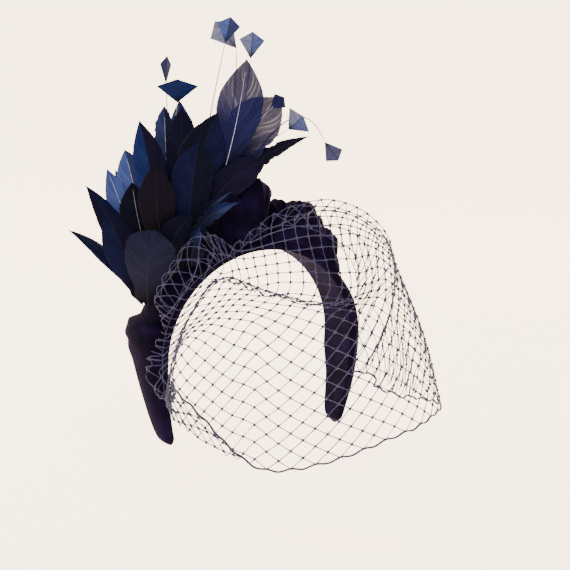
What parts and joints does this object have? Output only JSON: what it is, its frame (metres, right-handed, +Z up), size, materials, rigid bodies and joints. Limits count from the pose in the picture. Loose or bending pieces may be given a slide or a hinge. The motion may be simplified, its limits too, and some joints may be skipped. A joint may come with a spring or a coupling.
{
  "type": "fascinator",
  "caption": "Velvet headband with puffed folds, a fanned spray of feathers and stripped quills on one side, and a coarse diamond-net cage veil over the brow.",
  "frame": {"origin": "on the inner face of the headband at the top of the crown, where it sits on the head", "axes": "+Z up from the crown, +X to the wearer's left, -Y the way the wearer faces"},
  "size_m": [0.2247, 0.2487, 0.3055],
  "materials": {
    "velvet": "napped",
    "navy_feather": "satin",
    "blue_feather": "satin",
    "netting": "matte"
  },
  "bodies": {
    "root": {"headband": "velvet", "drape_top": "velvet", "drape_side": "velvet", "feather_01": "navy_feather", "feather_02": "navy_feather", "feather_03": "navy_feather", "feather_04": "navy_feather", "feather_05": "navy_feather", "feather_06": "navy_feather", "feather_07": "navy_feather", "feather_08": "navy_feather", "feather_09": "navy_feather", "feather_10": "navy_feather", "feather_11": "navy_feather", "feather_12": "navy_feather", "feather_13": "navy_feather", "feather_14": "navy_feather", "feather_15": "navy_feather", "feather_16": "navy_feather", "feather_17": "navy_feather", "feather_18": "navy_feather", "feather_19": "navy_feather", "feather_20": "navy_feather", "feather_21": "navy_feather", "feather_22": "navy_feather", "feather_23": "navy_feather", "feather_24": "navy_feather", "kite_quill_1": "blue_feather", "kite_quill_2": "blue_feather", "kite_quill_3": "blue_feather", "kite_quill_4": "blue_feather", "kite_quill_5": "blue_feather", "kite_quill_6": "blue_feather", "kite_quill_7": "blue_feather", "kite_quill_8": "blue_feather", "veil": "netting"}
  },
  "joints": []
}
